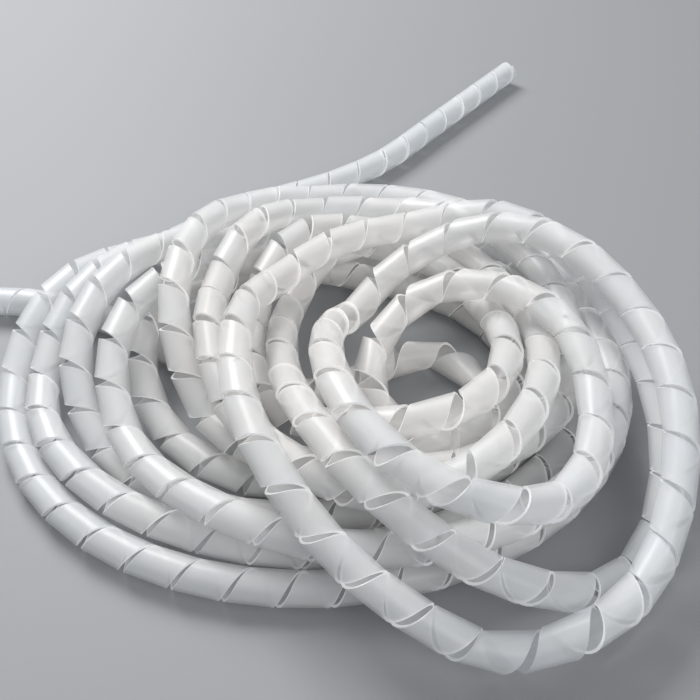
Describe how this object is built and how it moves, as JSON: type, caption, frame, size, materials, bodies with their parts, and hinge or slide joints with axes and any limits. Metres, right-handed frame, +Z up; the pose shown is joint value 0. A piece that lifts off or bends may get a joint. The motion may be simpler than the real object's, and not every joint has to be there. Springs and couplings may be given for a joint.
{
  "type": "spiral cable wrap",
  "caption": "Translucent white plastic spiral wrap for bundling cables, a slit tube of helical ribbon lying in a loose round pile with two free ends.",
  "frame": {"origin": "centre of the bounding box in plan, at the floor the pile lies on", "axes": "+Z up from the floor, +X to the right and +Y to the back as the pile is seen in the picture"},
  "size_m": [0.297, 0.3104, 0.0513],
  "materials": {
    "polyethylene": "frosted translucent, smooth"
  },
  "bodies": {
    "root": {"wrap_lower_turns": "polyethylene", "wrap_upper_turns": "polyethylene"}
  },
  "joints": []
}
